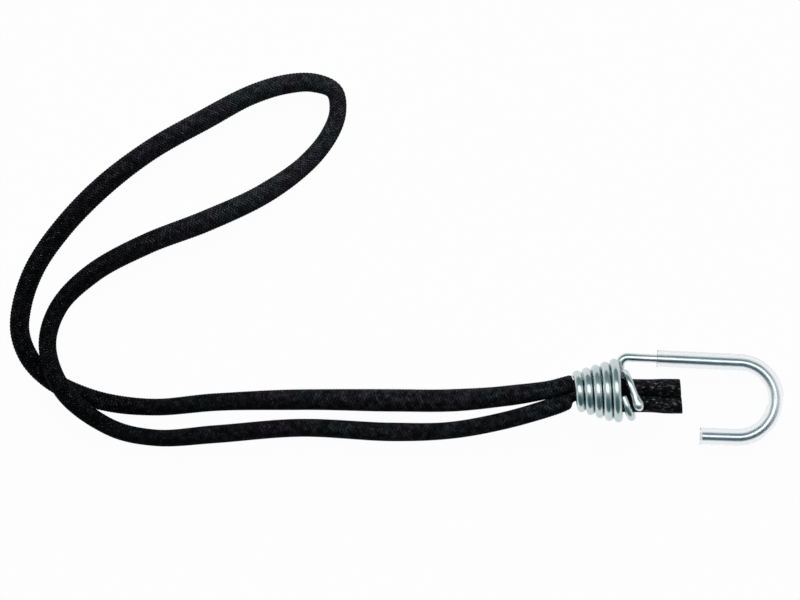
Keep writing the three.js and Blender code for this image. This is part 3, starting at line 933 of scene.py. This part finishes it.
def yarn_braid():
    t, material, curve, rod, local, length = rod_rule("yarn_braid", YARN_SIDES)
    bundles = t.add("GeometryNodePoints", {"Count": 2 * CARRIERS})
    placed = t.add("GeometryNodeInstanceOnPoints", {"Points": bundles.outputs[0], "Instance": rod})
    index = t.add("GeometryNodeInputIndex").outputs[0]
    numbered = store(t, placed.outputs[0], "bundle", index, "INT", "INSTANCE")
    mesh = t.add("GeometryNodeRealizeInstances", {"Geometry": numbered}).outputs[0]

    bundle = named(t, "bundle", "INT")
    number = t.math("FLOOR", t.math("DIVIDE", bundle, 2.0))
    way = t.rest(t.times(t.math("MODULO", bundle, 2.0), 2.0))
    wound = t.times(way, t.math("DIVIDE", length, BRAID_PITCH))
    turns = t.math("ADD", wound, t.math("DIVIDE", number, CARRIERS))
    crossing = t.times(turns, 2.0 * CARRIERS)
    phase = t.times(t.math("SUBTRACT", crossing, 0.5), math.pi / 2)
    wave = t.times(t.math("COSINE", phase), math.sqrt(2))
    over = t.times(t.math("MAXIMUM", t.math("MINIMUM", wave, 1.0), -1.0), way)
    fused = t.rest(t.smooth(from_tip(t, length), FUSED_LENGTH / 2, FUSED_LENGTH))
    lift = t.between(fused, BRAID_LIFT, BRAID_LIFT * (1 - FUSED_FLATNESS))
    sunk = t.times(t.rest(over), lift)
    thick = t.times(t.rest(local["X"]), YARN_HALF_THICKNESS)
    depth = t.math("ADD", sunk, thick)
    angle = t.math("ADD", t.times(turns, 2 * math.pi), t.times(local["Y"], YARN_HALF_ANGLE))
    place = on_cord(t, curve, length, angle, depth)

    mesh = store(t, mesh, "fused", fused)
    chance = t.add("FunctionNodeRandomValue", {"ID": bundle, "Seed": YARN_SEED}, data_type="FLOAT")
    mesh = store(t, mesh, "yarn_tone", chance.outputs["Value"])
    # yarn_crown drives painted shade: yarn that dips under is coloured darker
    mesh = store(t, mesh, "yarn_crown", t.times(t.math("ADD", over, 1.0), 0.5))
    apart = t.times(bundle, GRAIN_APART)
    across = t.math("ADD", t.times(local["Y"], GRAIN_ACROSS), apart)
    grain = t.combine(X=t.times(length, GRAIN_ALONG), Y=across)
    mesh = store(t, mesh, "yarn_grain", grain, "FLOAT_VECTOR")
    rod_map = t.parts(named(t, "rod_map", "FLOAT_VECTOR"))
    row = t.math("DIVIDE", t.math("ADD", bundle, rod_map["X"]), 2.0 * CARRIERS)
    column = t.math("SUBTRACT", t.times(rod_map["Y"], 2.0), 1.0)
    mesh = store(t, mesh, "OFBake", t.combine(X=column, Y=row), "FLOAT2", "CORNER")
    return close_rod(t, mesh, place, material)


# %% Rubber core tree
CORE_DEPTH = 0.62 * MM
CORE_SIDES = 20
CORE_STEP = 1.5 * MM
THREAD_LENGTH = 1.5 * MM


def rubber_core():
    t, material, curve, rod, local, length = rod_rule("rubber_core", CORE_SIDES)
    angle = t.math("ARCTAN2", local["Y"], local["X"])
    return close_rod(t, rod, on_cord(t, curve, length, angle, CORE_DEPTH), material)


# %% Stretches of cord
points, radii, squeezes, grips = zip(*cord_line)


def cord_lines(name):
    return line_mesh(name, points, cord_radius=radii, squeeze=squeezes, grip=grips)


braid_tree = yarn_braid()
core_tree = rubber_core()
middle_of_loop = (route_lengths[LOOP_FIRST] + route_lengths[LOOP_LAST]) / 2
STRETCHES = {
    "end_upper": (0.0, route_lengths[0]),
    "leg_upper": (route_lengths[0], route_lengths[LOOP_FIRST]),
    "loop_out": (route_lengths[LOOP_FIRST], middle_of_loop),
    "loop_back": (middle_of_loop, route_lengths[LOOP_LAST]),
    "leg_lower": (route_lengths[LOOP_LAST], route_lengths[-1]),
    "end_lower": (route_lengths[-1], cord_length),
}
sheaths, cores = {}, {}
for name, (first, last) in STRETCHES.items():
    yarn_steps = math.ceil((last - first) / BRAID_PITCH * 2 * CARRIERS * SAMPLES_PER_CROSSING)
    sheaths[name] = apply_rule(
        "sheath_braid_" + name, cord_lines(name), braid_tree,
        First=first, Last=last, Steps=yarn_steps, Material=yarn)
    first, last = max(first, THREAD_LENGTH), min(last, cord_length - THREAD_LENGTH)
    core_steps = math.ceil((last - first) / CORE_STEP)
    cores[name] = apply_rule(
        "core_rubber_" + name, cord_lines(name), core_tree,
        First=first, Last=last, Steps=core_steps, Material=rubber)

# %% [markdown]
# ## Cut rubber threads
# At both cut tips the rubber shows as a bundle of square-cut threads, packed like a honeycomb. A pattern
# on a flat disc would do from straight ahead, but not from the side. So one thread is instanced on a
# point for each, and chance leaves some a little further in than others.

# %% Thread ends
THREAD_RADIUS = 0.4 * MM
THREAD_SPACING = 0.86 * MM
BUNDLE_RADIUS = 2.75 * MM
THREAD_SIDES = 10
THREAD_UNEVEN = 0.35 * MM
THREAD_SEED = 3


def thread_places(tip):
    """Honeycomb places in the slanted cut of one tip."""
    places = []
    rows = math.ceil(BUNDLE_RADIUS / THREAD_SPACING)
    for row in range(-rows, rows + 1):
        high = row * THREAD_SPACING * math.sqrt(3) / 2
        for column in range(-rows, rows + 1):
            aside = (column + row % 2 / 2) * THREAD_SPACING
            if math.hypot(aside, high) < BUNDLE_RADIUS:
                places.append(tip + Vector((-CUT_SLANT * aside, aside, high)))
    return places


def thread_ends():
    t, inputs = rule("thread_ends", Material="Material")
    shape = {"Vertices": THREAD_SIDES, "Radius": THREAD_RADIUS, "Depth": 2 * THREAD_LENGTH}
    thread = t.add("GeometryNodeMeshCylinder", shape, fill_type="TRIANGLE_FAN")
    chance = t.add("FunctionNodeRandomValue", {"Seed": THREAD_SEED}, data_type="FLOAT")
    further_in = t.times(chance.outputs["Value"], -THREAD_UNEVEN)
    offset = t.combine(X=t.math("SUBTRACT", further_in, THREAD_LENGTH))
    moved = t.add("GeometryNodeSetPosition", {"Geometry": inputs["Geometry"], "Offset": offset})
    placed = t.add("GeometryNodeInstanceOnPoints", {
        "Points": moved.outputs[0], "Instance": thread.outputs[0], "Rotation": (0, math.pi / 2, 0),
    })
    close_rule(t, placed.outputs[0], inputs["Material"])
    return t


thread_tree = thread_ends()
threads = {}
for name, tip in (("end_upper", points[0]), ("end_lower", points[-1])):
    mesh = line_mesh(name, thread_places(tip))
    threads[name] = apply_rule("thread_rubber_" + name, mesh, thread_tree, Material=rubber)

# %% [markdown]
# ## Wire hook and clip ring
# Both are drawn wire with cut ends. A curve with a bevel would give wire of one thickness. The same rod
# as the cord's is bent along the two lines instead, with a radius at each point: it shrinks over the last
# half millimetre, because a shear leaves a rounded edge, and swells to a blunt knob at the ring's end
# that shows.

# %% Clip ring line
RING_GAP = 0.35 * MM
RING_LEAD = 5.4 * MM
RING_LEAN = 2.9 * MM
RING_FIRST, RING_LAST = -0.37, 0.735
RING_STEPS = 160
RING_SEAM = 0.3 * MM
ring_flat = PINCHED_DIAMETER + RING_SEAM
ring_bend = PINCHED_DIAMETER / 2 + RING_GAP + RING_WIRE / 2
ring_half = ring_flat / 2 + ring_bend


def on_ring(turn):
    """Point on the flat-sided ring, by turns from its top towards the table side."""
    whole = 2 * ring_flat + 2 * math.pi * ring_bend
    quarter = math.pi / 2 * ring_bend
    gone = (turn - math.floor(turn)) * whole
    on_back = gone < whole / 2
    part = gone if on_back else whole - gone
    down = clamp(part - quarter, 0, ring_flat)
    angle = (clamp(part, 0, quarter) + clamp(part - quarter - ring_flat, 0, quarter)) / ring_bend
    high = ring_flat / 2 - down + ring_bend * math.cos(angle)
    deep = (-1 if on_back else 1) * ring_bend * math.sin(angle)
    x = coil_mouth_x + RING_STANDOFF - RING_LEAD * turn - RING_LEAN * high / ring_half
    return Vector((x, END_AXIS_Y + high, COIL_AXIS_Z + deep))


ring_line = spread(RING_STEPS, lambda s: on_ring(lerp(RING_FIRST, RING_LAST, s)))
print("clip ring line:", len(ring_line), "points")

# %% Round wire tree
WIRE_SIDES = 24
WIRE_STEP = 0.3 * MM
WIRE_ROUNDING = 0.5 * MM
ROUNDING_STEPS = 5
WIRE_GRAIN_ACROSS, WIRE_GRAIN_ALONG = 7.0, 60.0


def round_wire():
    t, material, curve, rod, local, length = rod_rule("round_wire", WIRE_SIDES)
    angle = t.math("ARCTAN2", local["Y"], local["X"])
    middle, direction, side = sample(t, curve, length)
    rise = t.vector("CROSS_PRODUCT", direction, side)
    place = around(t, middle, side, rise, angle, sample(t, curve, length, "wire_radius"))
    grain = t.combine(
        X=t.times(local["X"], WIRE_GRAIN_ACROSS),
        Y=t.times(local["Y"], WIRE_GRAIN_ACROSS),
        Z=t.times(length, WIRE_GRAIN_ALONG),
    )
    mesh = store(t, rod, "wire_grain", grain, "FLOAT_VECTOR")
    mesh = store(t, mesh, "OFBake", named(t, "rod_map", "FLOAT_VECTOR"), "FLOAT2", "CORNER")
    return close_rod(t, mesh, place, material)


# %% Wire pieces
# Wire that is wound tightly is pressed a little wider
WOUND_SPREAD = 0.07 * MM
KNOB_RADIUS = 2.5 * MM
KNOB_MIDDLE = 2.2 * MM
KNOB_NECK = 4.5 * MM


def lengths_along(line):
    """How far along a line each of its points lies."""
    lengths = [0.0]
    for a, b in zip(line, line[1:]):
        lengths.append(lengths[-1] + (b - a).length)
    return lengths


def hook_radius(x):
    """The hook wire's radius by its place along the spiral's axis."""
    return WIRE / 2 + WOUND_SPREAD * (1 - smoothstep(x, coil_mouth_x - WIRE, coil_mouth_x))


def ring_radius(gone):
    """The ring wire's radius by length from the end with the knob."""
    if gone < KNOB_MIDDLE:
        return math.sqrt(KNOB_RADIUS ** 2 - (gone - KNOB_MIDDLE) ** 2)
    return lerp(KNOB_RADIUS, RING_WIRE / 2, smoothstep(gone, KNOB_MIDDLE, KNOB_MIDDLE + KNOB_NECK))


def rounded_ends(line, radii):
    """The line and the wire's radius at each of its points, longer by the rounding at both ends."""
    def cap(end, inner, radius):
        out = (end - inner).normalized()
        turns = [math.pi / 2 * i / ROUNDING_STEPS for i in range(1, ROUNDING_STEPS + 1)]
        return [(end + out * WIRE_ROUNDING * math.sin(a), radius - WIRE_ROUNDING * (1 - math.cos(a)))
                for a in turns]

    first = cap(line[0], line[1], radii[0])[::-1]
    last = cap(line[-1], line[-2], radii[-1])
    return zip(*(first + list(zip(line, radii)) + last))


def wire_piece(name, line, radii):
    line, wire_radii = rounded_ends(line, radii)
    whole = lengths_along(line)[-1]
    mesh = line_mesh(name, line, wire_radius=wire_radii)
    return apply_rule(
        name, mesh, wire_tree, First=0.0, Last=whole, Steps=round(whole / WIRE_STEP), Material=zinc)


wire_tree = round_wire()
hook = wire_piece("hook_bright_wire", hook_line, [hook_radius(point.x) for point in hook_line])
ring = wire_piece("clip_bright_ring", ring_line, [ring_radius(gone) for gone in lengths_along(ring_line)])

# %% [markdown]
# ## Clear sleeve
# The sleeve is a soft clear tube pushed over the hook, with air between it and the wire. A rod of glass
# would look solid, so it is one closed wall, and light bends in it as in the real one: rings of points go
# along its outside, over the cut lip, back along its bore and over the other lip.

# %% Sleeve
SLEEVE_SIDES = 32
LIP = 0.2 * MM


def level_ring(point, direction, radius):
    """Points round a level line; the first axis lies flat and the second is up."""
    side = UP.cross(direction).normalized()
    angles = [2 * math.pi * i / SLEEVE_SIDES for i in range(SLEEVE_SIDES)]
    return [point + radius * (math.cos(a) * side + math.sin(a) * UP) for a in angles]


def hook_sleeve():
    run = hook_run(SLEEVE_ON_SHANK, TIP_LENGTH + SLEEVE_PAST_TIP)
    ways = [(run[min(i + 1, len(run) - 1)] - run[max(i - 1, 0)]).normalized() for i in range(len(run))]
    outer, bore = SLEEVE / 2, WIRE / 2 + SLEEVE_GAP
    stations = list(zip(run, ways))
    inset_start = (run[0] + LIP * ways[0], ways[0])
    inset_end = (run[-1] - LIP * ways[-1], ways[-1])
    body = [inset_start, *stations[1:-1], inset_end]
    rings = [level_ring(*stations[0], outer - LIP)]
    rings += [level_ring(*station, outer) for station in body]
    rings += [level_ring(*stations[-1], outer - LIP), level_ring(*stations[-1], bore + LIP)]
    rings += [level_ring(*station, bore) for station in reversed(body)]
    rings += [level_ring(*stations[0], bore + LIP)]
    faces = []
    for r in range(len(rings)):
        for i in range(SLEEVE_SIDES):
            j = (i + 1) % SLEEVE_SIDES
            a, b = r * SLEEVE_SIDES, (r + 1) % len(rings) * SLEEVE_SIDES
            faces.append((a + i, a + j, b + j, b + i))
    mesh = bpy.data.meshes.new("hook_clear_sleeve")
    mesh.from_pydata([p for ring in rings for p in ring], [], faces)
    mesh.shade_smooth()
    mesh.materials.append(vinyl)
    piece = bpy.data.objects.new("hook_clear_sleeve", mesh)
    bpy.context.collection.objects.link(piece)
    return piece


sleeve = hook_sleeve()
print(sleeve.name, "has", len(sleeve.data.polygons), "faces")

# %% [markdown]
# ## Moving with the CAD bodies
# The loop stays put. The legs stretch between it and the gripped ends; here they are left in place and
# follow no body. The ring goes with the ends, and the hook turns on them with its sleeve.

# %% Rides, and the CAD parts each piece hides
for name in STRETCHES:
    for piece, slot in ((sheaths[name], "black_braid"), (cores[name], "rubber_threads")):
        if name.startswith("leg"):
            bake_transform(piece)
        else:
            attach(piece, "cord_loop" if name.startswith("loop") else "cord_ends")
    if name in threads:
        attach(threads[name], "cord_ends")
        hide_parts("core_" + name)
    node = "loop" if name.startswith("loop") else name
    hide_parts("sheath_" + node)
    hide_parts("core_" + node)
for piece, node, body, slot in (
    (hook, "hook_wire", "hook", "zinc_wire"),
    (sleeve, "hook_sleeve", "hook", "clear_vinyl"),
    (ring, "clip_ring", "cord_ends", "zinc_wire"),
):
    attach(piece, body)
    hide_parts(node)

# %% [markdown]
# ## Soft cord
# Each stretch's points are taken from the smooth line that its yarn follows, and its length is printed.


def stretch_path(first, last):
    """The cord's points between two lengths."""
    path, gone = [], 0.0
    for a, b in zip(points, points[1:]):
        step = (b - a).length
        if first - step < gone < last:
            path.append(a)
        gone += step
    return path


for name, (first, last) in STRETCHES.items():
    path = stretch_path(first, last)
    if name == "end_upper":
        path.reverse()
    print("cord", name, round((last - first) / MM), "mm")
